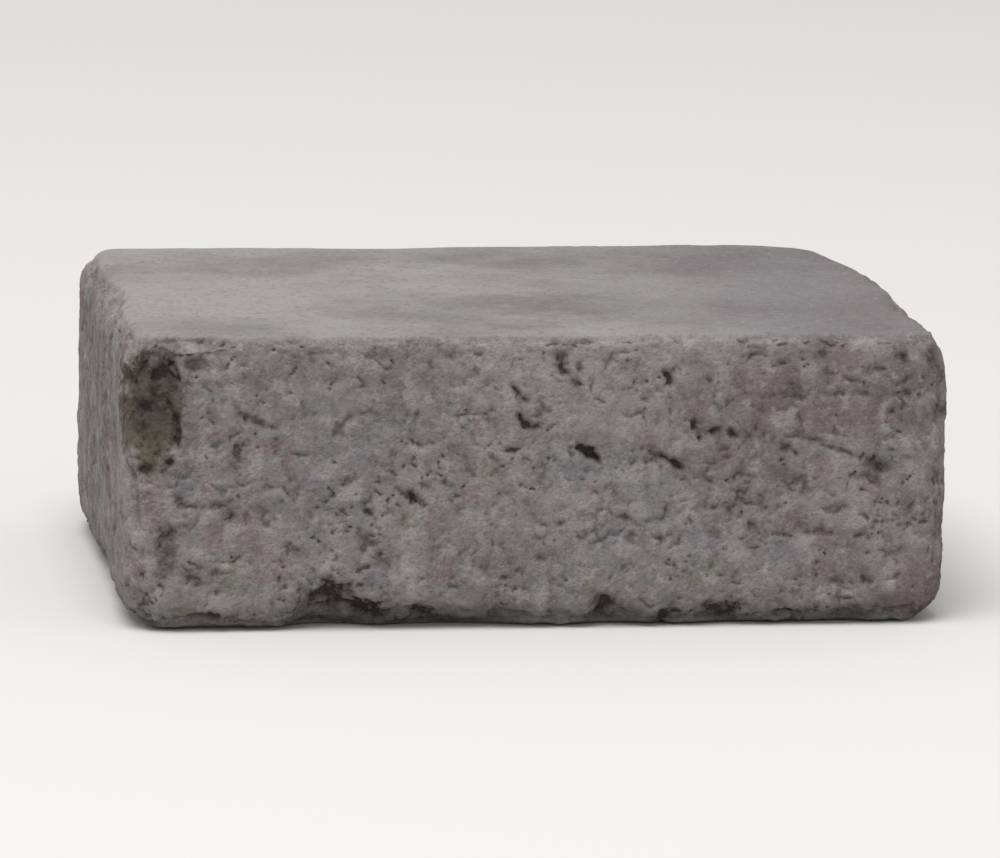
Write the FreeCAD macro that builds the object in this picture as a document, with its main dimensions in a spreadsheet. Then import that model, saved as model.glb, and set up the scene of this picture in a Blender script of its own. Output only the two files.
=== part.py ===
"""A tumbled concrete block for a dry-stacked retaining wall.

The block is one casting: a plain rectangular concrete unit that was turned in a
drum with others until its corners were knocked off, its arrises were rubbed
round and pieces had broken out along them.

Frame: millimetres, +X along the length, +Y from the front face to the back,
+Z up. The origin is the middle of the lower bed, on which the block rests.
"""

import FreeCAD, Part
import os
import Sketcher

# The side of the block that a corner or an arris lies on, along each axis.
LEFT, FRONT, BOTTOM = -1, -1, -1
RIGHT, BACK, TOP = 1, 1, 1

BLOCK = {
    "block_length": (280, "face length of the full unit"),
    "block_depth": (200, "front face to back face"),
    "block_height": (100, "lower bed to upper bed, one course"),
    "arris_wear": (3.6, "radius that rubbing left on every edge"),
}

# Flat breaks at the eight corners. The legs say how far the break runs from the
# sharp corner along the length, along the depth and down or up the height. The
# worst corner broke twice, so it has a second, steeper break at its shoulder.
CORNER_BREAKS = {
    "front_left_bottom": ((LEFT, FRONT, BOTTOM), (14, 16, 24)),
    "front_right_bottom": ((RIGHT, FRONT, BOTTOM), (15, 14, 16)),
    "back_left_bottom": ((LEFT, BACK, BOTTOM), (20, 15, 15)),
    "back_right_bottom": ((RIGHT, BACK, BOTTOM), (26, 22, 24)),
    "front_left_top": ((LEFT, FRONT, TOP), (11, 15, 12)),
    "front_right_top": ((RIGHT, FRONT, TOP), (8, 20, 36)),
    "back_left_top": ((LEFT, BACK, TOP), (15, 18, 13)),
    "back_right_top": ((RIGHT, BACK, TOP), (24, 100, 14)),
    "back_right_shoulder": ((RIGHT, BACK, TOP), (40, 45, 26)),
}

# Bevels rubbed along whole arrises. Each is a break from the named corner with
# one leg longer than the block, so that it runs out slowly along the arris.
ARRIS_BEVELS = {
    "right_top": ((RIGHT, FRONT, TOP), (8, 700, 6)),
    "left_top": ((LEFT, BACK, TOP), (6, 620, 5)),
    "back_top": ((LEFT, BACK, TOP), (900, 8, 6)),
    "back_bottom": ((RIGHT, BACK, BOTTOM), (1100, 7, 8)),
    "left_bottom": ((LEFT, FRONT, BOTTOM), (6, 700, 7)),
    "right_bottom": ((RIGHT, FRONT, BOTTOM), (7, 800, 6)),
    "left_front": ((LEFT, FRONT, BOTTOM), (6, 7, 340)),
    "right_front": ((RIGHT, FRONT, BOTTOM), (5, 6, 420)),
    "left_back": ((LEFT, BACK, TOP), (6, 8, 500)),
    "right_back": ((RIGHT, BACK, BOTTOM), (8, 7, 380)),
}

# Spalls, the shallow scars where the concrete broke away across an arris: the
# axis the arris runs along, the corner it is measured from, then the distance
# from that corner, half the scar's length, and its reach into the two faces in
# the order X, Y, Z. Long ones make the arris waver, short ones are single chips.
SPALLS = {
    "notch": ("X", (LEFT, FRONT, BOTTOM), (70, 13, 15, 19)),
    "front_sole": ("X", (LEFT, FRONT, BOTTOM), (108, 34, 12, 9)),
    "front_toe": ("X", (RIGHT, FRONT, BOTTOM), (114, 11, 10, 7)),
    "front_heel": ("X", (RIGHT, FRONT, BOTTOM), (72, 9, 9, 6)),
    "front_tip": ("X", (RIGHT, FRONT, BOTTOM), (38, 14, 8, 5)),
    "front_edge": ("Z", (LEFT, FRONT, TOP), (34, 22, 14, 8)),
    "front_brow": ("X", (LEFT, FRONT, TOP), (24, 14, 6, 7)),
    "right_brow": ("Y", (RIGHT, FRONT, TOP), (58, 34, 13, 9)),
    "right_edge": ("Z", (RIGHT, FRONT, TOP), (27, 8, 5, 7)),
    "right_toe": ("Y", (RIGHT, BACK, BOTTOM), (74, 30, 11, 12)),
    "left_brow": ("Y", (LEFT, FRONT, TOP), (100, 38, 9, 9)),
    "left_toe": ("Y", (LEFT, FRONT, BOTTOM), (88, 26, 10, 12)),
    "back_brow": ("X", (LEFT, BACK, TOP), (104, 40, 12, 11)),
    "back_toe": ("X", (RIGHT, BACK, BOTTOM), (118, 34, 13, 12)),
    "back_edge": ("Z", (LEFT, BACK, TOP), (50, 26, 11, 13)),
}

# Hollows of the faces, from wide shallow dishes to small pockets where a stone
# fell out: the axis that the face looks along, the corner it is measured from,
# then the distances from that corner along the face and up or down it, half the
# width and the depth.
HOLLOWS = {
    "front_dish": ("Y", (LEFT, FRONT, BOTTOM), (68, 52, 34, 1.3)),
    "front_shallow": ("Y", (RIGHT, FRONT, BOTTOM), (70, 44, 36, 1.4)),
    "scab": ("Y", (LEFT, FRONT, TOP), (10, 26, 12, 2.2)),
    "scab_foot": ("Y", (LEFT, FRONT, TOP), (11, 42, 10, 1.8)),
    "brow_pocket": ("Y", (LEFT, FRONT, TOP), (13, 12, 8, 3.2)),
    "brow_chip": ("Y", (LEFT, FRONT, TOP), (27, 9, 9, 1.8)),
    "deep_pit": ("Y", (RIGHT, FRONT, TOP), (122, 41, 9, 1.6)),
    "foot_pocket": ("Y", (LEFT, FRONT, BOTTOM), (72, 8, 8.5, 5.5)),
    "foot_chip": ("Y", (RIGHT, FRONT, BOTTOM), (117, 4, 6, 4)),
    "toe_chip": ("Y", (RIGHT, FRONT, BOTTOM), (77, 4, 7, 3.5)),
    "back_dish": ("Y", (LEFT, BACK, TOP), (84, 52, 42, 1.8)),
    "back_shallow": ("Y", (RIGHT, BACK, TOP), (74, 62, 30, 1.6)),
    "back_pocket": ("Y", (RIGHT, BACK, BOTTOM), (96, 9, 9, 5)),
    "back_chip": ("Y", (LEFT, BACK, TOP), (60, 9, 11, 2.6)),
    "left_dish": ("X", (LEFT, FRONT, BOTTOM), (49, 44, 27, 1.5)),
    "left_pocket": ("X", (LEFT, BACK, TOP), (40, 26, 12, 2)),
    "right_dish": ("X", (RIGHT, BACK, BOTTOM), (52, 44, 27, 1.6)),
    "right_pocket": ("X", (RIGHT, FRONT, BOTTOM), (44, 30, 12, 1.8)),
}

AXES = ("X", "Y", "Z")
LEG_NAMES = ("length", "depth", "height")
SPALL_NAMES = ("from_corner", "half_length", "first_reach", "second_reach")
HOLLOW_NAMES = ("from_side", "from_bed", "half_width", "sunk")


def write_sheet(doc):
    """Puts every driving dimension in the sheet, one named cell each."""
    sheet = doc.addObject("Spreadsheet::Sheet", "dims")
    rows = [(name, value, note) for name, (value, note) in BLOCK.items()]
    for shapes, size_names, note in (
        (CORNER_BREAKS, LEG_NAMES, "leg of the corner break"),
        (ARRIS_BEVELS, LEG_NAMES, "leg of the arris bevel"),
        (SPALLS, SPALL_NAMES, "size of the spall"),
        (HOLLOWS, HOLLOW_NAMES, "size or place of the hollow"),
    ):
        for name, (*_, sizes) in shapes.items():
            rows += [(f"{name}_{size_name}", size, note) for size_name, size in zip(size_names, sizes)]
    for number, (alias, value, note) in enumerate(rows, start=1):
        sheet.set(f"A{number}", alias)
        sheet.set(f"B{number}", str(value))
        sheet.set(f"C{number}", note)
        sheet.setAlias(f"B{number}", alias)
    doc.recompute()


def origin_plane(body, role):
    """One of the body's own origin planes, found by its role."""
    return next(f for f in body.Origin.OriginFeatures if f.Role == role)


def corner_place(side):
    """The sharp corner on these three sides, as one expression for each axis."""
    along_x = f"{side[0]} * dims.block_length / 2"
    along_y = f"{side[1]} * dims.block_depth / 2"
    along_z = "dims.block_height" if side[2] == TOP else "0"
    return [along_x, along_y, along_z]


def bind(feature, expressions):
    for path, expression in expressions.items():
        feature.setExpression(path, expression)


def moulded_block(doc, body):
    """The block as it left the mould: a rectangle padded to the course height."""
    plan = body.newObject("Sketcher::SketchObject", "plan")
    plan.AttachmentSupport = (origin_plane(body, "XY_Plane"), [""])
    plan.MapMode = "FlatFace"
    half_x = BLOCK["block_length"][0] / 2
    half_y = BLOCK["block_depth"][0] / 2
    corners = [
        FreeCAD.Vector(x, y, 0)
        for x, y in ((-half_x, -half_y), (half_x, -half_y), (half_x, half_y), (-half_x, half_y))
    ]
    for here, there in zip(corners, corners[1:] + corners[:1]):
        plan.addGeometry(Part.LineSegment(here, there))
    for side in range(4):
        plan.addConstraint(Sketcher.Constraint("Coincident", side, 2, (side + 1) % 4, 1))
    front, right, back, left = range(4)
    for side in (front, back):
        plan.addConstraint(Sketcher.Constraint("Horizontal", side))
    for side in (left, right):
        plan.addConstraint(Sketcher.Constraint("Vertical", side))
    plan.addConstraint(Sketcher.Constraint("Symmetric", front, 1, back, 1, -1, 1))
    length = plan.addConstraint(Sketcher.Constraint("DistanceX", front, 1, front, 2, 2 * half_x))
    depth = plan.addConstraint(Sketcher.Constraint("DistanceY", right, 1, right, 2, 2 * half_y))
    plan.setExpression(f"Constraints[{length}]", "dims.block_length")
    plan.setExpression(f"Constraints[{depth}]", "dims.block_depth")
    pad = body.newObject("PartDesign::Pad", "moulded_block")
    pad.Profile = plan
    pad.setExpression("Length", "dims.block_height")
    doc.recompute()


def flat_break(body, name, side):
    """Takes away what lies beyond the plane through the three leg ends.

    The cutter is a wide cylinder standing on that plane. Its foot is where the
    perpendicular from the sharp corner meets the plane, a bite below the corner.
    """
    legs = [f"dims.{name}_{leg_name}" for leg_name in LEG_NAMES]
    bite = "(1 / sqrt(" + " + ".join(f"1 / {leg}^2" for leg in legs) + "))"
    outward = [f"({s} * {bite} / {leg})" for s, leg in zip(side, legs)]
    cutter = body.newObject("PartDesign::SubtractiveCylinder", f"{name}_break")
    cutter.AttachmentSupport = (origin_plane(body, "XY_Plane"), [""])
    cutter.MapMode = "FlatFace"
    reach = "(dims.block_length + dims.block_depth + dims.block_height)"
    bind(cutter, {"Radius": f"2 * {reach}", "Height": reach})
    for axis, place, lean in zip("xyz", corner_place(side), outward):
        cutter.setExpression(f"AttachmentOffset.Base.{axis}", f"{place} - {lean} * {bite}")
    bind(
        cutter,
        {
            "AttachmentOffset.Rotation.Axis.x": f"-{outward[1]}",
            "AttachmentOffset.Rotation.Axis.y": outward[0],
            "AttachmentOffset.Rotation.Axis.z": "0",
            "AttachmentOffset.Rotation.Angle": f"acos({outward[2]})",
        },
    )


def rubbed_edges(doc, body):
    """Rounds every edge that the moulding and the breaks left."""
    fillet = body.newObject("PartDesign::Fillet", "rubbed_edges")
    fillet.Base = (fillet.BaseFeature, [])
    fillet.UseAllEdges = True
    fillet.setExpression("Radius", "dims.arris_wear")
    doc.recompute()


def ball(doc, name, radius, middle):
    """The ball that a scar is scooped out with."""
    scoop = doc.addObject("Part::Sphere", name)
    scoop.setExpression("Radius", radius)
    for letter, expression in zip("xyz", middle):
        scoop.setExpression(f"Placement.Base.{letter}", expression)
    return scoop


def spall(doc, name, axis, side):
    """The ball for a scar across an arris.

    It passes through the arris at both ends of the scar and is a bite deep at the
    scar's middle, square to the line that joins the two reaches.
    """
    from_corner, half_length, first, second = (f"dims.{name}_{s}" for s in SPALL_NAMES)
    bite = f"(1 / sqrt(1 / {first}^2 + 1 / {second}^2))"
    radius = f"(({half_length}^2 + {bite}^2) / (2 * {bite}))"
    run = AXES.index(axis)
    across = [i for i in range(3) if i != run]
    middle = corner_place(side)
    middle[run] += f" - {side[run]} * {from_corner}"
    for i, leg in zip(across, (first, second)):
        middle[i] += f" + {side[i]} * ({radius} - {bite}) * {bite} / {leg}"
    return ball(doc, f"{name}_spall", radius, middle)


def hollow(doc, name, axis, side):
    """The ball for a hollow of a face: it meets the face along the hollow's rim."""
    from_side, from_bed, half_width, sunk = (f"dims.{name}_{s}" for s in HOLLOW_NAMES)
    radius = f"(({half_width}^2 + {sunk}^2) / (2 * {sunk}))"
    out = AXES.index(axis)
    along = 1 - out
    middle = corner_place(side)
    middle[out] += f" + {side[out]} * ({radius} - {sunk})"
    middle[along] += f" - {side[along]} * {from_side}"
    middle[2] += f" - {side[2]} * {from_bed}"
    return ball(doc, f"{name}_hollow", radius, middle)


def scarred_block(doc, body):
    """Takes every scar out of the rubbed block in one cut."""
    balls = [spall(doc, name, axis, side) for name, (axis, side, _) in SPALLS.items()]
    balls += [hollow(doc, name, axis, side) for name, (axis, side, _) in HOLLOWS.items()]
    scars = doc.addObject("Part::MultiFuse", "scars")
    scars.Shapes = balls
    block = doc.addObject("Part::Cut", "wall_block")
    block.Label = "wall_block"
    block.Base = body
    block.Tool = scars
    doc.recompute()
    return block


def check(doc, block):
    """Stops before anything is written if a feature or the solid is bad."""
    for thing in doc.Objects:
        if {"Invalid", "Error"} & set(thing.State):
            raise RuntimeError(f"{thing.Name} failed: {thing.State}")
    shape = block.Shape
    if shape.isNull() or not shape.isValid() or len(shape.Solids) != 1:
        raise RuntimeError("the block is not one valid solid")


def main():
    doc = FreeCAD.newDocument("retaining_wall_block")
    write_sheet(doc)
    body = doc.addObject("PartDesign::Body", "rubbed_block")
    body.Label = "rubbed_block"
    moulded_block(doc, body)
    for name, (side, _) in {**CORNER_BREAKS, **ARRIS_BEVELS}.items():
        flat_break(body, name, side)
        doc.recompute()
    rubbed_edges(doc, body)
    block = scarred_block(doc, body)
    check(doc, block)
    os.makedirs("parts", exist_ok=True)
    block.Shape.exportStep(f"parts/{block.Label}.step")
    box = block.Shape.optimalBoundingBox()
    print(f"{block.Label}: {box.XLength:.2f} x {box.YLength:.2f} x {box.ZLength:.2f} mm,")
    print(f"volume {block.Shape.Volume / 1e6:.4f} litres, {len(block.Shape.Faces)} faces")


main()
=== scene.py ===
"""Dresses a tumbled concrete wall block: its worn, pitted surface, its concrete
and the plain studio that it stands in.

Everything is in metres in the block's own frame: +X along the face, +Y from the
front face to the back, +Z up, with the origin in the middle of the lower bed.
"""

import math

import bpy
from mathutils import Matrix, Vector


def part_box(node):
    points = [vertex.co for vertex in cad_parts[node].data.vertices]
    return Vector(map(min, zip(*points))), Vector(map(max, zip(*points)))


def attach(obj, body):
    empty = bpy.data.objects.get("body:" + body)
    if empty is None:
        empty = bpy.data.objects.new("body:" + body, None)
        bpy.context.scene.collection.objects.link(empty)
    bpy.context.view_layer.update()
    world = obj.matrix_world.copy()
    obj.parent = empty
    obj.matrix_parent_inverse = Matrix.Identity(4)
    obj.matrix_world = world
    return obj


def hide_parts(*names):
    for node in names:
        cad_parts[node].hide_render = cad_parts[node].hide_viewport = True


bl_info = {
    "name": "Tumbled Wall Block",
    "version": (1, 0, 0),
    "blender": (4, 5, 0),
    "location": "3D View > Sidebar > Wall Block",
    "description": "Weathers a concrete wall block and sets it in a plain studio",
    "category": "Object",
}

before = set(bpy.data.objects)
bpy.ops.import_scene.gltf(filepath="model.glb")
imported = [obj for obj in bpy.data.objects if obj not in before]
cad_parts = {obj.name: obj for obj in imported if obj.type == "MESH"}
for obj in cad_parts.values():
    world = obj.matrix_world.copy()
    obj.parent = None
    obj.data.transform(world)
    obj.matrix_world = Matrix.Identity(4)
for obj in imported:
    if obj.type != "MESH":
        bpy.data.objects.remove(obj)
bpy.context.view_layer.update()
LOW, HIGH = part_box("wall_block")
MM = 0.001

# Chips and deep pits of the front face that are large enough to place one by one:
# where each lies, half its width and height, its depth (all in millimetres) and
# how far it is turned, in degrees, anticlockwise as the face is looked at.
FRONT_CHIPS = {
    "left_brow_hollow": ((-127, 88), (4.6, 4.2), 2.4, 0),
    "brow_hollow": ((-114, 90), (4.5, 2.4), 1.4, -10),
    "high_pit": ((6, 92), (2.6, 1.1), 1.7, -50),
    "high_pit_middle": ((7.5, 87.5), (3.4, 1.3), 2.0, -35),
    "high_pit_side": ((12, 88.5), (1.0, 2.4), 1.6, 10),
    "high_pit_low": ((10.5, 84), (2.8, 1.0), 1.8, -20),
    "high_pit_right": ((42, 85.5), (1.5, 3.0), 2.0, 25),
    "deep_pit": ((17, 59), (5.8, 1.15), 3.0, -40),
    "deep_pit_head": ((14, 61), (2.4, 1.3), 2.4, -65),
    "pit_right_of_deep": ((44, 57), (4.6, 1.0), 2.3, -30),
    "pit_right_of_deep_high": ((39, 59), (2.8, 0.9), 1.8, -15),
    "drop_pit": ((52, 68), (1.4, 4.4), 2.3, 16),
    "twin_pit_left": ((59, 67), (2.6, 1.0), 1.8, 25),
    "twin_pit_right": ((64, 66), (2.2, 1.0), 1.8, -35),
    "shoulder_pit": ((-9, 81), (2.6, 1.2), 1.8, -60),
    "shoulder_pit_low": ((-6, 78), (1.9, 0.9), 1.6, 20),
    "middle_pit": ((-6, 70), (4.2, 1.3), 2.1, -45),
    "middle_pit_right": ((-2.5, 68.5), (2.4, 1.1), 1.8, -10),
    "middle_pit_low": ((-10, 61), (3.4, 1.1), 1.7, 5),
    "slanted_pit": ((-43, 45), (4.2, 1.3), 2.4, -28),
    "slanted_pit_low": ((-56, 39), (3.4, 1.5), 1.6, -20),
    "left_dash": ((-97, 72), (5.0, 1.5), 1.7, -28),
    "left_dash_right": ((-88, 69), (3.2, 1.2), 1.3, -10),
    "left_dash_low": ((-101, 60), (1.3, 4.0), 1.4, 15),
    "hooked_pit": ((-108, 43), (4.4, 1.3), 1.7, 5),
    "hooked_pit_tail": ((-104, 41), (1.2, 3.4), 1.7, 0),
    "left_edge_pit": ((-120, 44), (2.8, 1.4), 1.6, -60),
    "left_edge_scab": ((-125, 30), (3.0, 7.5), 1.5, 8),
    "left_scab": ((-130, 72), (7.5, 10.0), 1.5, 0),
    "left_scab_rim": ((-121.5, 66), (1.2, 5.5), 2.0, -2),
    "left_scab_rim_high": ((-123.5, 76), (1.4, 4.5), 2.2, 20),
    "left_scab_rim_low": ((-124.0, 57), (1.2, 4.5), 2.0, -32),
    "left_scab_spot": ((-133, 76), (3.5, 1.8), 1.8, -25),
    "left_scab_shelf": ((-132, 55), (4.0, 2.2), 1.6, 10),
    "foot_notch": ((-70, 9), (6.0, 7.0), 2.5, 12),
    "foot_notch_right": ((-58, 5), (9.0, 5.0), 3.5, -20),
    "foot_chip_far_left": ((-112, 3), (5.0, 3.5), 2.5, 10),
    "foot_chip_left": ((-38, 3), (7.0, 3.0), 2.5, -12),
    "foot_chip_middle": ((23, 5), (5.0, 5.5), 2.0, 25),
    "foot_chip_small": ((43, 1.5), (5.0, 2.4), 1.8, 12),
    "foot_chip_right": ((63, 4), (7.0, 4.5), 2.0, -15),
    "foot_chip_far_right": ((87, 2.0), (6.5, 2.4), 1.8, -8),
    "foot_chip_end": ((106, 1.5), (4.0, 2.0), 1.4, 6),
    "low_left_pit": ((-115, 18), (3.5, 1.6), 1.5, -30),
    "crack_high": ((88, 64), (7.0, 0.9), 1.2, -8),
    "crack_low": ((101, 60), (7.5, 0.9), 1.6, -20),
    "crack_end": ((113, 55), (4.2, 2.2), 1.9, -25),
    "crack_start": ((82, 61), (2.0, 1.6), 1.6, 0),
    "crack_tail": ((114, 49), (1.9, 1.5), 1.7, 0),
    "right_dot_row": ((98, 79), (5.0, 1.1), 1.2, 0),
    "right_dot_row_left": ((86, 78), (4.0, 1.1), 1.2, -6),
    "right_dot_row_right": ((109, 79), (2.6, 1.2), 1.3, 0),
    "right_brow_pit": ((121, 91), (2.6, 1.6), 1.6, -20),
    "right_edge_pit": ((122, 79), (3.0, 1.2), 1.6, 5),
    "right_edge_nick": ((138, 73), (3.2, 1.3), 2.2, -38),
    "right_cluster_left": ((97, 86), (2.4, 0.8), 1.3, 0),
    "right_cluster": ((104, 84), (3.0, 0.9), 1.4, -15),
    "right_cluster_right": ((112, 87), (3.2, 1.0), 1.4, 12),
    "right_middle_dash": ((99, 40), (4.0, 0.8), 1.3, -3),
    "right_low_row": ((96, 32), (4.5, 0.8), 1.4, 0),
    "right_low_row_end": ((110, 31), (4.0, 0.8), 1.4, 4),
    "right_foot_dash": ((102, 15), (5.0, 0.9), 1.5, -3),
    "right_low_pit": ((111, 16), (3.0, 1.4), 1.6, -10),
    "low_dots": ((40, 31), (2.6, 0.8), 1.4, -15),
    "low_dots_right": ((46, 29), (2.0, 0.8), 1.3, 10),
    "right_low_pit_left": ((72, 34), (2.6, 1.1), 1.2, 0),
    "low_dash": ((30, 37), (3.2, 1.2), 1.3, -20),
    "low_dash_left": ((0, 24), (2.4, 1.4), 1.3, 0),
}

# A chip is made that much wider and higher, because its rim is too shallow to be seen.
CHIP_SPREAD = 1.15
# How far from the plane of the front face a chip still reaches.
CHIP_REACH_INWARDS = 0.012
# How strongly a chip's outline is torn, and where its slope starts and ends,
# in shares of its reach.
CHIP_RAGGEDNESS = 3.2
CHIP_RIM = 1.22
CHIP_FLOOR = 0.36

# The brown scab at the left end of the front: its middle, and its half size along,
# inwards and upwards.
SCAB_MIDDLE = (-0.131, LOW.y, 0.075)
SCAB_REACH = (0.012, 0.030, 0.020)

# How deep any pit, and a chip, has to be to be wholly darkened, with grime and painted
# shade, and how many points of the mesh the darker halo round it spreads.
DIRT_AND_SHADE_DEPTH = 0.0032
DIRT_AND_SHADE_CHIP_DEPTH = 0.0020
HALO_SPREAD = 9


# Small helpers


class Nodes:
    """Short ways to add the nodes of one tree and join them."""

    def __init__(self, tree):
        self.tree = tree

    def add(self, kind, sockets=None, **settings):
        """Adds a node. A socket takes a plain value, or another node's output."""
        node = self.tree.nodes.new(kind)
        for name, value in settings.items():
            setattr(node, name, value)
        for name, value in (sockets or {}).items():
            socket = self.socket(node, name)
            if isinstance(value, bpy.types.NodeSocket):
                self.tree.links.new(value, socket)
            else:
                socket.default_value = value
        return node

    @staticmethod
    def socket(node, name):
        """An input by its number, its identifier or its name."""
        if isinstance(name, int):
            return node.inputs[name]
        by_identifier = [s for s in node.inputs if s.identifier == name]
        return by_identifier[0] if by_identifier else node.inputs[name]

    def math(self, operation, *values, clamp=False):
        sockets = dict(enumerate(values))
        return self.add("ShaderNodeMath", sockets, operation=operation, use_clamp=clamp).outputs[0]

    def chain(self, operation, first, *others):
        """One operation on several values, from left to right."""
        for other in others:
            first = self.math(operation, first, other)
        return first

    def times(self, *values):
        return self.chain("MULTIPLY", *values)

    def plus(self, *values):
        return self.chain("ADD", *values)

    def minus(self, first, second):
        return self.math("SUBTRACT", first, second)

    def most(self, *values):
        return self.chain("MAXIMUM", *values)

    def least(self, *values):
        return self.chain("MINIMUM", *values)

    def rising(self, mask, base, rise):
        """base where the mask is 0, and base + rise where it is 1."""
        return self.math("MULTIPLY_ADD", mask, rise, base)

    def step(self, value, low, high, smooth=True):
        """0 below low, 1 above high and a smooth rise between. high may be the lower one."""
        sockets = {"Value": value, "From Min": low, "From Max": high}
        kind = "SMOOTHSTEP" if smooth else "LINEAR"
        return self.add("ShaderNodeMapRange", sockets, interpolation_type=kind).outputs["Result"]

    def vector(self, operation, *values, output="Vector"):
        sockets = dict(enumerate(values))
        return self.add("ShaderNodeVectorMath", sockets, operation=operation).outputs[output]

    def scaled(self, vector, factor):
        sockets = {0: vector, "Scale": factor}
        return self.add("ShaderNodeVectorMath", sockets, operation="SCALE").outputs[0]

    def split(self, vector):
        """The X, Y and Z outputs of a vector."""
        return self.add("ShaderNodeSeparateXYZ", {0: vector}).outputs

    def shifted(self, place, shift):
        """The same place read from elsewhere in a pattern, so that two patterns differ."""
        return self.vector("ADD", place, shift)

    def noise(self, place, size, shift=None, detail=2.0, roughness=0.5, distortion=0.0, output="Fac"):
        """Noise whose lumps are about size across."""
        sockets = {
            "Vector": self.shifted(place, shift) if shift else place,
            "Scale": 1.0 / size,
            "Detail": detail,
            "Roughness": roughness,
            "Distortion": distortion,
        }
        return self.add("ShaderNodeTexNoise", sockets, noise_dimensions="3D").outputs[output]

    def patches(self, place, size, start, full, smooth=True, **noise):
        """Patches in noise: 0 where it is below start, 1 where it is past full."""
        return self.step(self.noise(place, size, **noise), start, full, smooth=smooth)

    def wander(self, place, size, reach, shift=None):
        """An offset that swings to all sides, up to about half of reach, in waves of this size."""
        swing = self.noise(place, size, shift=shift, output="Color")
        swing = self.vector("SUBTRACT", swing, (0.5, 0.5, 0.5))
        return self.vector("MULTIPLY", swing, (reach, reach, reach))

    def cells(self, place, size, feature="F1"):
        """The outputs of cells about size across."""
        sockets = {"Vector": place, "Scale": 1.0 / size}
        return self.add("ShaderNodeTexVoronoi", sockets, feature=feature).outputs

    def blurred(self, value, steps, kind):
        """A value smoothed along the mesh, from point to point."""
        sockets = {"Value": value, "Iterations": steps}
        return self.add("GeometryNodeBlurAttribute", sockets, data_type=kind).outputs[0]

    def moved(self, geometry, offset):
        sockets = {"Geometry": geometry, "Offset": offset}
        return self.add("GeometryNodeSetPosition", sockets).outputs[0]

    def mixed(self, mask, first, second):
        """The first colour where the mask is 0 and the second where it is 1."""
        sockets = {"Factor_Float": mask, "A_Color": first, "B_Color": second}
        node = self.add("ShaderNodeMix", sockets, data_type="RGBA")
        return next(o for o in node.outputs if o.identifier == "Result_Color")


def only(piece):
    """Selects this piece and nothing else."""
    bpy.ops.object.select_all(action="DESELECT")
    piece.select_set(True)
    bpy.context.view_layer.objects.active = piece


def apply_modifier(piece, name):
    only(piece)
    bpy.ops.object.modifier_apply(modifier=name)


# The worn surface


def chip_group():
    """A hollow of ragged outline: gives its depth at a place, and zero outside it."""
    tree = bpy.data.node_groups.new("chip", "GeometryNodeTree")
    for name, kind in (
        ("Place", "NodeSocketVector"),
        ("Centre", "NodeSocketVector"),
        ("Reach", "NodeSocketVector"),
        ("Turn", "NodeSocketFloat"),
        ("Depth", "NodeSocketFloat"),
        ("Ragged", "NodeSocketFloat"),
    ):
        tree.interface.new_socket(name, in_out="INPUT", socket_type=kind)
    tree.interface.new_socket("Hollow", in_out="OUTPUT", socket_type="NodeSocketFloat")
    n = Nodes(tree)
    given = n.add("NodeGroupInput").outputs
    away = n.vector("SUBTRACT", given["Place"], given["Centre"])
    turned = n.add(
        "ShaderNodeVectorRotate",
        {"Vector": away, "Axis": (0.0, 1.0, 0.0), "Angle": given["Turn"]},
        rotation_type="AXIS_ANGLE",
    ).outputs[0]
    unit = n.vector("DIVIDE", turned, given["Reach"])
    distance = n.vector("LENGTH", unit, output="Value")
    ragged = n.minus(given["Ragged"], 0.5)
    distance = n.plus(distance, n.times(ragged, CHIP_RAGGEDNESS))
    # the floor is uneven: between half of the depth and all of it
    floor = n.plus(n.times(n.step(given["Ragged"], 0.66, 0.36), 0.5), 0.5)
    floor = n.times(given["Depth"], floor)
    n.add("NodeGroupOutput", {"Hollow": n.times(n.step(distance, CHIP_RIM, CHIP_FLOOR), floor)})
    return tree


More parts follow.
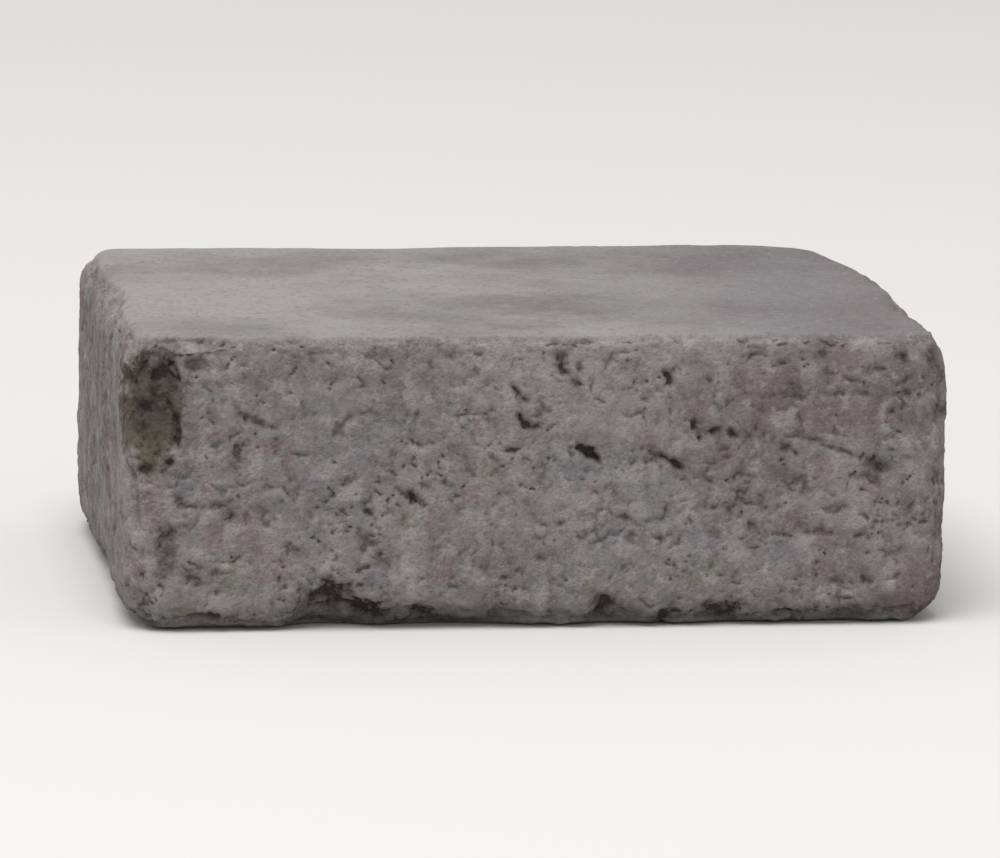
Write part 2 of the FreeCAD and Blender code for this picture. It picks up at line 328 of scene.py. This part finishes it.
class WornSurface:
    """A node tree that sinks the surface of the block by undulation, rubbed arrises,
    crushed lumps, pits and crevices.

    It leaves three attributes for the concrete: how deep in a pit a point is, how
    near it is to one and how far it belongs to a smooth bed.
    """

    def __init__(self, shape):
        self.shape = shape
        tree = bpy.data.node_groups.new("tumbled_surface", "GeometryNodeTree")
        tree.interface.new_socket("Block", in_out="INPUT", socket_type="NodeSocketGeometry")
        tree.interface.new_socket("Block", in_out="OUTPUT", socket_type="NodeSocketGeometry")
        n = self.n = Nodes(tree)
        self.place = n.add("GeometryNodeInputPosition").outputs[0]
        self.normal = n.add("GeometryNodeInputNormal").outputs[0]
        self.at = n.split(self.place)
        facing = n.split(self.normal)
        upper_bed = n.step(facing["Z"], 0.84, 0.97)
        lower_bed = n.step(facing["Z"], -0.960, -0.995)
        self.bed = n.most(upper_bed, lower_bed)
        self.side = n.minus(1.0, self.bed)
        # the share of roughness that a point gets: all on the sides, hardly any on the beds
        self.rough_share = n.plus(n.times(self.side, 0.97), 0.03)
        self.from_arris = self.distance_from_arris()
        self.crisp = self.crisp_share()
        self.ragged = n.noise(self.place, 0.0040, shift=(5.0, 5.0, 1.0), detail=4.0, roughness=0.70)
        self.swayed = n.vector("ADD", self.place, n.wander(self.place, 0.0045, 0.0032))

    def build(self):
        n = self.n
        block = n.add("NodeGroupInput").outputs[0]
        block = self.rubbed_round(block)
        block = self.drifted(block)
        lump, crevice = self.crushed_lumps()
        hollow = n.most(self.front_chips(), self.strewn_pits())
        sunk = n.most(self.voids(), crevice, hollow)
        total = n.plus(self.broad_relief(), n.plus(self.broken_arrises(), n.plus(lump, sunk)))
        # Pits and chips darken the deeper they are, as grime and painted shade in the hollows; blurred,
        # this gives the darker halo round them.
        dirt_and_shade = n.most(n.math("DIVIDE", sunk, DIRT_AND_SHADE_DEPTH), n.math("DIVIDE", hollow, DIRT_AND_SHADE_CHIP_DEPTH))
        dirt_and_shade = n.least(dirt_and_shade, 1.0)
        stain = n.blurred(dirt_and_shade, HALO_SPREAD, "FLOAT")
        for name, value in (("pit", dirt_and_shade), ("stain", stain), ("bed", self.bed)):
            block = n.add(
                "GeometryNodeStoreNamedAttribute",
                {"Geometry": block, "Name": name, "Value": value},
                data_type="FLOAT",
                domain="POINT",
            ).outputs[0]
        inward = n.scaled(self.normal, n.times(total, -1.0))
        n.add("NodeGroupOutput", {0: n.moved(block, inward)})
        return n.tree

    def distance_from_arris(self):
        """How far the nearest arris is: the second nearest of the planes of the block."""
        n, at = self.n, self.at
        from_end = n.minus(HIGH.x, n.math("ABSOLUTE", at["X"]))
        from_face = n.minus(HIGH.y, n.math("ABSOLUTE", at["Y"]))
        from_bed = n.least(at["Z"], n.minus(HIGH.z, at["Z"]))
        nearer = n.least(from_end, from_face)
        farther = n.most(from_end, from_face)
        return n.most(nearer, n.least(farther, from_bed))

    def crisp_share(self):
        """1 at the crisp arris between the front face and the upper bed."""
        n, at = self.n, self.at
        near_face = n.step(at["Y"], LOW.y + 0.012, LOW.y + 0.004)
        near_bed = n.step(at["Z"], HIGH.z - 0.012, HIGH.z - 0.004)
        return n.times(near_face, near_bed)

    def rubbed_round(self, block):
        """Gives every arris a soft round, the crisp one least."""
        n = self.n
        near = n.minus(1.0, n.times(self.crisp, 0.85))
        near = n.times(near, n.step(self.from_arris, 0.020, 0.010))
        rounded = n.blurred(self.place, self.shape.rounding_steps, "FLOAT_VECTOR")
        return n.moved(block, n.vector("MULTIPLY", n.vector("SUBTRACT", rounded, self.place), near))

    def drifted(self, block):
        """Lets the outlines of breaks and scars wander along the surface, never out of it."""
        n = self.n
        drift = n.wander(self.place, 0.017, self.shape.drift, shift=(9.0, 4.0, 6.0))
        outward = n.vector("DOT_PRODUCT", drift, self.normal, output="Value")
        outward = n.scaled(self.normal, outward)
        return n.moved(block, n.vector("SUBTRACT", drift, outward))

    def broad_relief(self):
        """The wander of the faces and the small lumps in them, much less on the beds."""
        n, shape = self.n, self.shape
        lie = n.patches(self.place, 0.060, start=0.30, full=0.70, smooth=False)
        lie = n.times(lie, n.rising(self.side, shape.undulation * 0.3, shape.undulation * 0.7))
        hummock = n.patches(
            self.place,
            0.016,
            start=0.28,
            full=0.72,
            smooth=False,
            shift=(3.1, 0.7, 1.9),
            detail=3.0,
            roughness=0.55,
        )
        hummock = n.times(hummock, n.rising(self.side, shape.hummocks * 0.15, shape.hummocks * 0.85))
        return n.plus(lie, hummock)

    def broken_arrises(self):
        """Small breaks and larger knocks along the arrises, and a ragged foot."""
        n, shape, place = self.n, self.shape, self.place
        rub = n.noise(place, 0.013, shift=(8.3, 2.2, 5.5), detail=4.0, roughness=0.62)
        rub = n.most(n.minus(rub, 0.38), 0.0)
        dent = n.patches(
            place, 0.026, start=0.56, full=0.72, shift=(1.3, 8.8, 4.1), detail=3.0, roughness=0.6
        )
        rub = n.plus(n.times(rub, shape.arris_break), n.times(dent, shape.arris_dent))
        rub = n.times(rub, n.step(self.from_arris, 0.013, 0.001))
        rub = n.times(rub, n.minus(1.0, n.times(self.crisp, 0.75)))

        foot = n.patches(
            place, 0.0075, start=0.44, full=0.66, shift=(2.4, 7.7, 3.8), detail=4.0, roughness=0.62
        )
        foot = n.times(foot, n.step(self.at["Z"], 0.009, 0.002))
        foot = n.times(foot, n.times(n.step(self.from_arris, 0.010, 0.003), shape.foot_break))
        return n.plus(rub, foot)

    def crushed_lumps(self):
        """A mosaic of lumps, each at its own height, and crevices between some of them."""
        n, shape, place = self.n, self.shape, self.place
        bent = n.vector("ADD", place, n.wander(place, 0.0040, 0.0034, shift=(6.6, 1.2, 3.4)))
        lumps, crevices = [], []
        for size, share in ((shape.lump_size, 1.0), (shape.lump_size * 0.48, 0.55)):
            there = n.shifted(bent, (40 * size, 0.0, 0.0))
            height = n.split(n.cells(there, size, "SMOOTH_F1")["Color"])[0]
            lumps.append(n.times(height, shape.lump_height * share))
            seam = n.step(n.cells(there, size, "DISTANCE_TO_EDGE")["Distance"], 0.10, 0.01)
            elsewhere = (7.1, 5.2 * share, 2.2)
            gape = n.patches(
                place, size, start=0.51, full=0.64, shift=elsewhere, detail=2.5, roughness=0.6
            )
            crevices.append(n.times(seam, gape, share))
        lump = n.times(n.plus(*lumps), self.rough_share)
        crevice = n.times(n.most(*crevices), n.times(self.side, shape.crevice_depth))
        return lump, crevice

    def voids(self):
        """Voids between the grains, crowded in some places and rare in others."""
        n, shape = self.n, self.shape
        squeezed = n.vector("MULTIPLY", self.place, (1.0, 1.0, 1.25))
        crowd = n.patches(self.place, 0.030, start=0.34, full=0.66, shift=(4.4, 9.1, 0.3), detail=1.0)
        void = n.noise(squeezed, shape.pit_size, detail=3.5, roughness=0.62, distortion=0.7)
        edge = n.minus(0.70, n.times(crowd, 0.13))
        void = n.step(n.minus(void, edge), 0.0, 0.080)
        return n.times(void, shape.pit_depth, self.rough_share)

    def front_chips(self):
        """The chips, pits and cracks that are placed on the front one by one."""
        chip = chip_group()
        hollows = []
        for name, ((along, up), (wide, high), depth, turn) in FRONT_CHIPS.items():
            sockets = {
                "Place": self.swayed,
                "Centre": (along * MM, LOW.y, up * MM),
                "Reach": (wide * MM * CHIP_SPREAD, CHIP_REACH_INWARDS, high * MM * CHIP_SPREAD),
                "Turn": math.radians(turn),
                "Depth": depth * MM,
                "Ragged": self.ragged,
            }
            cut = self.n.add("GeometryNodeGroup", sockets, node_tree=chip, label=name)
            hollows.append(cut.outputs[0])
        return self.n.most(*hollows)

    def strewn_pits(self):
        """Ragged pits of the same kind, strewn over every side but the front."""
        n = self.n
        spread = n.vector("MULTIPLY", n.shifted(self.swayed, (1.7, 2.9, 4.3)), (1.0, 1.0, 1.5))
        cell = n.cells(spread, 0.026)
        chance = n.split(cell["Color"])
        distance = n.rising(n.minus(self.ragged, 0.5), cell["Distance"], 0.95)
        distance = n.rising(chance["Z"], distance, -0.13)
        pit = n.times(n.step(chance["X"], 0.54, 0.66), n.step(distance, 0.13, 0.00))
        pit = n.times(pit, n.rising(chance["Y"], 0.0011, 0.0012))
        behind = n.times(n.step(self.at["Y"], LOW.y + 0.006, LOW.y + 0.014), self.side)
        return n.times(pit, behind)


# The concrete


def linear(colour):
    """A colour picked on screen, 0 to 255, as the light values that the shader takes."""
    values = [c / 255 for c in colour]
    return tuple(c / 12.92 if c <= 0.04045 else ((c + 0.055) / 1.055) ** 2.4 for c in values) + (1.0,)


class Concrete:
    """Weathered pressed concrete: one colour after another is laid over the paste."""

    def __init__(self, colours):
        self.colours = colours
        self.material = bpy.data.materials.new("weathered_concrete")
        self.material.use_nodes = True
        self.material.node_tree.nodes.clear()
        n = self.n = Nodes(self.material.node_tree)
        self.place = n.add("ShaderNodeTexCoord").outputs["Object"]
        self.at = n.split(self.place)
        self.pit = self.attribute("pit")
        self.stain = self.attribute("stain")
        self.bed = self.attribute("bed")
        self.off_bed = n.minus(1.0, self.bed)
        # the clouds of dust on the beds and the mottling are each used more than once
        stretched = n.vector("MULTIPLY", self.place, (0.8, 1.0, 1.0))
        self.dust = n.noise(stretched, 0.085, detail=5.0, roughness=0.58)
        self.mottle = n.noise(self.place, 0.0085, shift=(1.0, 4.0, 8.0), detail=4.0, roughness=0.62)
        self.colour = tuple(colours.paste)

    def attribute(self, name):
        return self.n.add("ShaderNodeAttribute", attribute_name=name).outputs["Fac"]

    def lay(self, name, mask):
        """Lays one of the colours over what is there, as far as the mask goes."""
        self.colour = self.n.mixed(mask, self.colour, tuple(getattr(self.colours, name)))

    def build(self):
        n = self.n
        self.paste_tints()
        self.wide_tints()
        self.bed_dust()
        self.broad_shade()
        self.mottling()
        self.dull_bed()
        self.sand()
        self.runs()
        self.foot_grime_and_shade()
        self.scab()
        self.pit_dirt_and_shade()
        shader = n.add(
            "ShaderNodeBsdfPrincipled",
            {
                "Base Color": self.colour,
                "Roughness": n.math("ADD", n.times(self.mottle, 0.14), 0.82, clamp=True),
                "Specular IOR Level": 0.25,
                "Normal": self.grain_bump(),
            },
        ).outputs[0]
        n.add("ShaderNodeOutputMaterial", {"Surface": shader})
        return self.material

    def paste_tints(self):
        """Warm and cooler paste, with small patches of pink, green and blue grey."""
        n = self.n
        self.lay("cool_paste", n.patches(self.place, 0.050, start=0.38, full=0.62, detail=3.0))
        for size, name, weight in ((0.013, "blush", 0.64), (0.011, "lichen", 0.72), (0.016, "slate", 0.66)):
            elsewhere = (100 * size, 4.0, 2.0)
            patch = n.patches(
                self.place, size, start=0.52, full=0.66, shift=elsewhere, detail=4.0, roughness=0.6
            )
            self.lay(name, n.times(patch, n.rising(self.bed, weight, weight * -0.8)))

    def wide_tints(self):
        """Wide patches of iron pink, mostly at the right end, and of lichen green grey."""
        n = self.n
        iron = n.noise(self.place, 0.045, shift=(2.0, 7.0, 3.0), detail=4.0, roughness=0.6)
        iron = n.plus(iron, n.times(n.step(self.at["X"], 0.01, 0.09), 0.13))
        self.lay("iron", n.times(n.step(iron, 0.53, 0.69), n.rising(self.bed, 0.80, -0.60)))
        green = n.patches(
            self.place, 0.038, start=0.55, full=0.70, shift=(6.0, 1.0, 9.0), detail=4.0, roughness=0.6
        )
        self.lay("lichen", n.times(green, n.rising(self.bed, 0.55, -0.45)))

    def bed_dust(self):
        """Pale dust on the smooth skin of the beds."""
        n = self.n
        self.lay("dust", n.times(n.step(self.dust, 0.30, 0.56), n.times(self.bed, 0.74)))

    def broad_shade(self):
        """Broad light and dark, a painted highlight along the top of the front face where it turns up to
        the light, and a darker right end, weaker on the beds.
        """
        n, at = self.n, self.at
        strength = n.rising(self.bed, 1.0, -0.70)
        broad = n.noise(self.place, 0.055, shift=(5.5, 0.4, 2.7), detail=3.0, roughness=0.55)
        self.lay("soot", n.times(n.step(broad, 0.50, 0.34), n.times(strength, 0.26)))
        self.lay("bloom_and_highlight", n.times(n.step(broad, 0.50, 0.64), n.times(strength, 0.32)))
        # painted highlight: the top of the front face made paler, as where its arris turns up to the light
        # from above
        brow = n.step(at["Z"], HIGH.z - 0.015, HIGH.z - 0.004)
        self.lay("bloom_and_highlight", n.times(brow, n.times(self.off_bed, 0.18)))
        far_end = n.times(n.step(at["X"], 0.098, 0.130), 0.24)
        low_end = n.times(n.step(at["X"], 0.020, 0.080), n.step(at["Z"], 0.052, 0.015), 0.16)
        self.lay("soot", n.times(n.most(far_end, low_end), self.off_bed))

    def mottling(self):
        """Light and dark mottling, weaker on the beds."""
        n = self.n
        strength = n.rising(self.bed, 1.0, -0.70)
        self.lay("bloom_and_highlight", n.times(n.step(self.mottle, 0.50, 0.64), n.times(strength, 0.66)))
        self.lay("soot", n.times(n.step(self.mottle, 0.47, 0.33), n.times(strength, 0.46)))

    def dull_bed(self):
        """Dull skin where the dust is thin and towards the right end, and pinholes in it."""
        n = self.n
        thin = n.times(n.step(self.dust, 0.48, 0.33), 0.32)
        cloudy = n.rising(n.minus(self.dust, 0.5), self.at["X"], -0.22)
        dull = n.math("ADD", thin, n.times(n.step(cloudy, -0.03, 0.10), 0.85), clamp=True)
        self.lay("dull", n.times(dull, n.times(self.bed, 0.76)))
        pinhole = n.step(n.cells(self.place, 0.0042)["Distance"], 0.16, 0.06)
        some = n.patches(self.place, 0.020, start=0.46, full=0.60, shift=(9.0, 9.0, 0.0), detail=3.0)
        self.lay("soot", n.times(pinhole, some, n.times(self.bed, 0.66)))

    def sand(self):
        """Light and dark grains of sand, coarse and fine."""
        n = self.n
        strength = n.rising(self.bed, 1.0, -0.10)
        # share is how many of the grains are light, and how many are dark
        for size, share, weight in ((0.0017, 0.14, 0.28), (0.0008, 0.30, 0.24)):
            grain = n.cells(n.shifted(self.place, (size, 0.0, 0.0)), size)["Color"]
            grain = n.add("ShaderNodeSeparateColor", {0: grain}).outputs
            seen = n.times(strength, weight)
            self.lay("bloom_and_highlight", n.times(n.step(grain[0], 1.0 - share, 1.0), seen))
            self.lay("soot", n.times(n.step(grain[1], share, 0.0), seen))

    def runs(self):
        """Faint pale runs down the faces."""
        n = self.n
        drawn_out = n.vector("MULTIPLY", self.place, (1.0, 1.0, 0.06))
        run = n.patches(drawn_out, 0.0050, start=0.52, full=0.70)
        self.lay("bloom_and_highlight", n.times(run, n.rising(self.bed, 0.13, -0.13)))

    def foot_grime_and_shade(self):
        """The grimy foot of the faces, in clumps, with painted shade where the block meets what it stands
        on.
        """
        n = self.n
        ragged = n.noise(self.place, 0.010, shift=(0.0, 3.0, 3.0), detail=4.0, roughness=0.65)
        foot = n.step(n.rising(ragged, self.at["Z"], 0.020), 0.0190, 0.0095)
        clump = n.patches(
            self.place, 0.0050, start=0.36, full=0.60, shift=(8.0, 1.0, 3.0), detail=3.0, roughness=0.6
        )
        foot = n.times(foot, n.rising(clump, 0.42, 0.40))
        # painted shade along the foot of the faces, laid together with the grime
        self.lay("grime_and_shade", n.times(foot, self.off_bed))

    def scab(self):
        """The brown scab at the left end of the front: black above, mossy below."""
        n = self.n
        distance = n.vector("DIVIDE", n.vector("SUBTRACT", self.place, SCAB_MIDDLE), SCAB_REACH)
        distance = n.vector("LENGTH", distance, output="Value")
        ragged = n.noise(self.place, 0.0060, detail=5.0, roughness=0.7)
        scab = n.step(n.rising(ragged, distance, 2.0), 2.15, 1.70)
        crust = n.noise(self.place, 0.0050, shift=(3.0, 3.0, 8.0), detail=5.0, roughness=0.68)
        crust = n.plus(crust, n.times(n.minus(0.074, self.at["Z"]), 6.5))
        self.lay("rust", n.times(scab, 0.78))
        self.lay("moss", n.times(scab, n.times(n.step(crust, 0.50, 0.68), 0.85)))
        self.lay("pit", n.times(scab, n.times(n.step(crust, 0.47, 0.34), 0.75)))

    def pit_dirt_and_shade(self):
        """A darker halo round the pits, and grime with painted shade in them, the deeper the darker."""
        n = self.n
        # darker round the pits: their grime and painted shade, blurred outwards
        self.lay("soot", n.times(n.step(self.stain, 0.06, 0.60, smooth=False), 0.46))
        clod = n.patches(
            self.place, 0.0016, start=0.30, full=0.62, shift=(5.0, 2.0, 7.0), detail=3.0, roughness=0.7
        )
        # the pit colour as grime and painted shade, the deeper the darker
        soil_and_shade = n.times(self.pit, n.rising(clod, 0.35, 0.55))
        soil_and_shade = n.rising(n.step(self.pit, 0.50, 0.95), soil_and_shade, 0.30)
        self.lay("pit", n.least(soil_and_shade, 0.92))

    def grain_bump(self):
        """The sand grain, too fine for the mesh, and a little weaker on the beds."""
        n = self.n
        rough = n.times(n.noise(self.place, 0.0019, detail=4.0, roughness=0.70), 0.00125)
        grains = n.times(n.cells(self.place, 0.0014)["Distance"], 0.00018)
        height = n.times(n.minus(rough, grains), n.rising(self.bed, 1.0, -0.30))
        return n.add("ShaderNodeBump", {"Height": height, "Strength": 1.0, "Distance": 1.0}).outputs[0]


# The properties


def length(name, description, default):
    return bpy.props.FloatProperty(
        name=name, description=description, default=default, min=0.0, precision=5, unit="LENGTH"
    )


def angle(name, description, degrees):
    return bpy.props.FloatProperty(
        name=name, description=description, default=math.radians(degrees), subtype="ANGLE"
    )


def paint(name, description, screen):
    return bpy.props.FloatVectorProperty(
        name=name,
        description=description,
        subtype="COLOR",
        size=4,
        min=0.0,
        max=1.0,
        default=linear(screen),
    )


class WallBlockShape(bpy.types.PropertyGroup):
    """How worn and how pitted the block is."""

    mesh_step: length("Mesh Step", "Spacing of the mesh that the wear is carved in", 0.0009)
    undulation: length("Undulation", "How far the faces wander in and out", 0.0009)
    hummocks: length("Hummocks", "Height of the small lumps of the moulded faces", 0.0009)
    lump_size: length("Lump Size", "Width of the crushed lumps in the faces", 0.0085)
    lump_height: length("Lump Height", "How far the crushed lumps differ in height", 0.0007)
    arris_break: length("Arris Break", "How rough the broken arrises are", 0.0105)
    arris_dent: length("Arris Dent", "Depth of the larger knocks on the arrises", 0.0030)
    foot_break: length("Foot Break", "How ragged the lower arrises are", 0.0022)
    rounding_steps: bpy.props.IntProperty(
        name="Rounding Steps", description="How long the arrises were rubbed round", default=70, min=0
    )
    drift: length("Drift", "How far the outlines of breaks and scars wander", 0.0060)
    pit_size: length("Pit Size", "Width of the voids between the grains", 0.0042)
    pit_depth: length("Pit Depth", "Depth of the voids between the grains", 0.0014)
    crevice_depth: length("Crevice Depth", "Depth of the short cracks", 0.0013)
    triangles: bpy.props.IntProperty(
        name="Triangles", description="Most triangles that the block may have", default=190000, min=1000
    )


class WallBlockConcrete(bpy.types.PropertyGroup):
    """The colours of the weathered concrete."""

    paste: paint("Paste", "Warm grey of the cement paste", (147, 141, 139))
    cool_paste: paint("Cool Paste", "Cooler grey beside it", (143, 140, 141))
    blush: paint("Blush", "Iron-pink tint", (135, 115, 114))
    iron: paint("Iron", "Darker pink of the right end", (130, 112, 111))
    lichen: paint("Lichen", "Green-grey tint", (127, 128, 116))
    slate: paint("Slate", "Blue-grey tint", (126, 126, 131))
    dust: paint("Dust", "Pale dust on the beds", (168, 165, 166))
    dull: paint("Dull", "Darker skin of the beds", (116, 113, 115))
    # Also laid along the top of the front face as a painted highlight.
    bloom_and_highlight: paint("Bloom", "Pale bloom and light sand", (170, 164, 162))
    soot: paint("Soot", "Dark mottling and dark sand", (95, 88, 86))
    # Grime, and painted shade at the foot where the block meets what it stands on.
    grime_and_shade: paint("Damp", "Grime at the foot of the faces", (68, 72, 66))
    moss: paint("Moss", "Dry moss on the scab", (112, 105, 90))
    rust: paint("Rust", "Brown scab at the left end", (84, 70, 57))
    # Laid in the pits as grime and painted shade, the deeper the darker, and on the black top of the scab.
    pit: paint("Pit", "Dirt inside the pits", (58, 51, 47))


class WallBlockStudio(bpy.types.PropertyGroup):
    """The camera, the floor and the light."""

    azimuth: angle("Azimuth", "How far round the camera stands, to the left when negative", -8.1)
    elevation: angle("Elevation", "How high the camera stands", 10.4)
    roll: angle("Roll", "Levels the long edges of the face", 1.0)
    distance: length("Distance", "From the camera to the middle of the block", 2.57)
    lens: bpy.props.FloatProperty(
        name="Lens", description="Focal length of the camera", default=268.0, min=10.0, unit="CAMERA"
    )
    floor_colour: paint("Floor Colour", "Plain pale floor as it is seen", (231, 230, 228))
    floor_bounce: paint("Floor Bounce", "What the floor gives back to the block", (203, 202, 200))
    sky: bpy.props.FloatProperty(
        name="Sky", description="Strength of the light from all round", default=0.55, min=0.0
    )
    softbox: bpy.props.FloatProperty(
        name="Softbox", description="Power of the large lamp above", default=140.0, min=0.0, unit="POWER"
    )


# The operators


class WALLBLOCK_OT_weathered_block(bpy.types.Operator):
    """Carve the wear into a fine copy of the block and give it its concrete"""

    bl_idname = "wallblock.weathered_block"
    bl_label = "Weathered Block"
    bl_options = {"REGISTER", "UNDO"}

    def execute(self, context):
        shape = context.scene.wall_block_shape
        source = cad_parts["wall_block"]
        piece = bpy.data.objects.new("weathered_block", source.data.copy())
        piece.data.materials.clear()
        context.scene.collection.objects.link(piece)

        self.remesh(piece, shape.mesh_step)
        worn = piece.modifiers.new("worn", "NODES")
        worn.node_group = WornSurface(shape).build()
        apply_modifier(piece, "worn")
        self.thin(piece, shape.triangles)

        only(piece)
        bpy.ops.object.shade_smooth()
        piece.data.materials.append(Concrete(context.scene.wall_block_concrete).build())
        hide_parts("wall_block")
        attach(piece, "root")
        return {"FINISHED"}

    @staticmethod
    def remesh(piece, step):
        """Gives the copy an even, fine mesh that the wear can be carved in."""
        only(piece)
        bpy.ops.object.mode_set(mode="EDIT")
        bpy.ops.mesh.select_all(action="SELECT")
        bpy.ops.mesh.remove_doubles(threshold=0.00001)
        bpy.ops.object.mode_set(mode="OBJECT")

        even = piece.modifiers.new("even_mesh", "REMESH")
        even.mode = "VOXEL"
        even.voxel_size = step
        even.use_smooth_shade = True
        apply_modifier(piece, "even_mesh")

        soften = piece.modifiers.new("soften", "SMOOTH")
        soften.factor = 0.5
        soften.iterations = 5
        apply_modifier(piece, "soften")

    @staticmethod
    def thin(piece, triangles):
        """Thins the mesh to this many triangles at most."""
        piece.data.calc_loop_triangles()
        share = triangles / len(piece.data.loop_triangles)
        if share < 1.0:
            thin = piece.modifiers.new("thin", "DECIMATE")
            thin.ratio = share
            apply_modifier(piece, "thin")


class WALLBLOCK_OT_studio(bpy.types.Operator):
    """Set up the plain floor, the soft light and the camera"""

    bl_idname = "wallblock.studio"
    bl_label = "Studio"
    bl_options = {"REGISTER", "UNDO"}

    def execute(self, context):
        studio = context.scene.wall_block_studio
        bpy.ops.object.select_all(action="DESELECT")
        bpy.ops.mesh.primitive_plane_add(size=14.0, location=(0.0, 0.0, 0.0))
        floor = context.active_object
        floor.name = "floor"
        floor.data.materials.append(self.floor_material(studio))

        self.light(context, studio)
        self.place_camera(context, studio)
        context.scene.view_settings.view_transform = "Standard"
        return {"FINISHED"}

    @staticmethod
    def floor_material(studio):
        """A floor that looks paler than the light it gives back to the block."""
        material = bpy.data.materials.new("pale_floor")
        material.use_nodes = True
        material.node_tree.nodes.clear()
        n = Nodes(material.node_tree)
        seen = n.add("ShaderNodeLightPath").outputs["Is Camera Ray"]
        pale = n.add("ShaderNodeBsdfDiffuse", {"Color": studio.floor_colour}).outputs[0]
        quiet = n.add("ShaderNodeBsdfDiffuse", {"Color": studio.floor_bounce}).outputs[0]
        both = n.add("ShaderNodeMixShader", {0: seen, 1: quiet, 2: pale}).outputs[0]
        n.add("ShaderNodeOutputMaterial", {"Surface": both})
        return material

    @staticmethod
    def light(context, studio):
        """Faintly warm light from all round, seen as white, and a large round lamp above."""
        world = bpy.data.worlds.new("studio")
        world.use_nodes = True
        context.scene.world = world
        world.node_tree.nodes.clear()
        n = Nodes(world.node_tree)
        seen = n.add("ShaderNodeLightPath").outputs["Is Camera Ray"]
        warm, white = (1.0, 0.99, 0.98, 1.0), (1.0, 1.0, 1.0, 1.0)
        lit = n.add("ShaderNodeBackground", {"Color": warm, "Strength": studio.sky}).outputs[0]
        plain = n.add("ShaderNodeBackground", {"Color": white, "Strength": 1.0}).outputs[0]
        both = n.add("ShaderNodeMixShader", {0: seen, 1: lit, 2: plain}).outputs[0]
        n.add("ShaderNodeOutputWorld", {"Surface": both})

        bpy.ops.object.light_add(type="AREA", location=(-0.8, -1.5, 4.2))
        lamp = context.active_object
        lamp.name = "softbox"
        lamp.data.shape = "DISK"
        lamp.data.size = 3.2
        lamp.data.energy = studio.softbox
        lamp.rotation_euler = (Vector((0, 0, 0.05)) - lamp.location).to_track_quat("-Z", "Y").to_euler()

    @staticmethod
    def place_camera(context, studio):
        """Aims the camera at the middle of the block, from where the studio says."""
        back = Vector(
            (
                math.sin(studio.azimuth) * math.cos(studio.elevation),
                -math.cos(studio.azimuth) * math.cos(studio.elevation),
                math.sin(studio.elevation),
            )
        )
        middle = (LOW + HIGH) / 2
        bpy.ops.object.camera_add(location=middle + back * studio.distance)
        camera = context.active_object
        camera.name = "camera"
        aim = (-back).to_track_quat("-Z", "Y").to_matrix()
        camera.rotation_euler = (aim @ Matrix.Rotation(studio.roll, 3, "Z")).to_euler()
        camera.data.lens = studio.lens
        camera.data.sensor_width = 36.0
        camera.data.clip_start = 0.05
        camera.data.clip_end = 50.0
        context.scene.camera = camera


class WALLBLOCK_PT_panel(bpy.types.Panel):
    """The block's settings and the buttons that build it"""

    bl_idname = "WALLBLOCK_PT_panel"
    bl_label = "Tumbled Wall Block"
    bl_space_type = "VIEW_3D"
    bl_region_type = "UI"
    bl_category = "Wall Block"

    def draw(self, context):
        scene = context.scene
        groups = (
            ("Shape", scene.wall_block_shape, WALLBLOCK_OT_weathered_block),
            ("Concrete", scene.wall_block_concrete, None),
            ("Studio", scene.wall_block_studio, WALLBLOCK_OT_studio),
        )
        for title, settings, operator in groups:
            box = self.layout.box()
            box.label(text=title)
            for name in settings.bl_rna.properties.keys():
                if name not in {"rna_type", "name"}:
                    box.prop(settings, name)
            if operator:
                box.operator(operator.bl_idname)


CLASSES = (
    WallBlockShape,
    WallBlockConcrete,
    WallBlockStudio,
    WALLBLOCK_OT_weathered_block,
    WALLBLOCK_OT_studio,
    WALLBLOCK_PT_panel,
)


def register():
    for cls in CLASSES:
        bpy.utils.register_class(cls)
    bpy.types.Scene.wall_block_shape = bpy.props.PointerProperty(type=WallBlockShape)
    bpy.types.Scene.wall_block_concrete = bpy.props.PointerProperty(type=WallBlockConcrete)
    bpy.types.Scene.wall_block_studio = bpy.props.PointerProperty(type=WallBlockStudio)


def unregister():
    del bpy.types.Scene.wall_block_studio
    del bpy.types.Scene.wall_block_concrete
    del bpy.types.Scene.wall_block_shape
    for cls in reversed(CLASSES):
        bpy.utils.unregister_class(cls)


def main():
    register()
    bpy.ops.wallblock.studio()
    bpy.ops.wallblock.weathered_block()


if __name__ == "__main__":
    main()
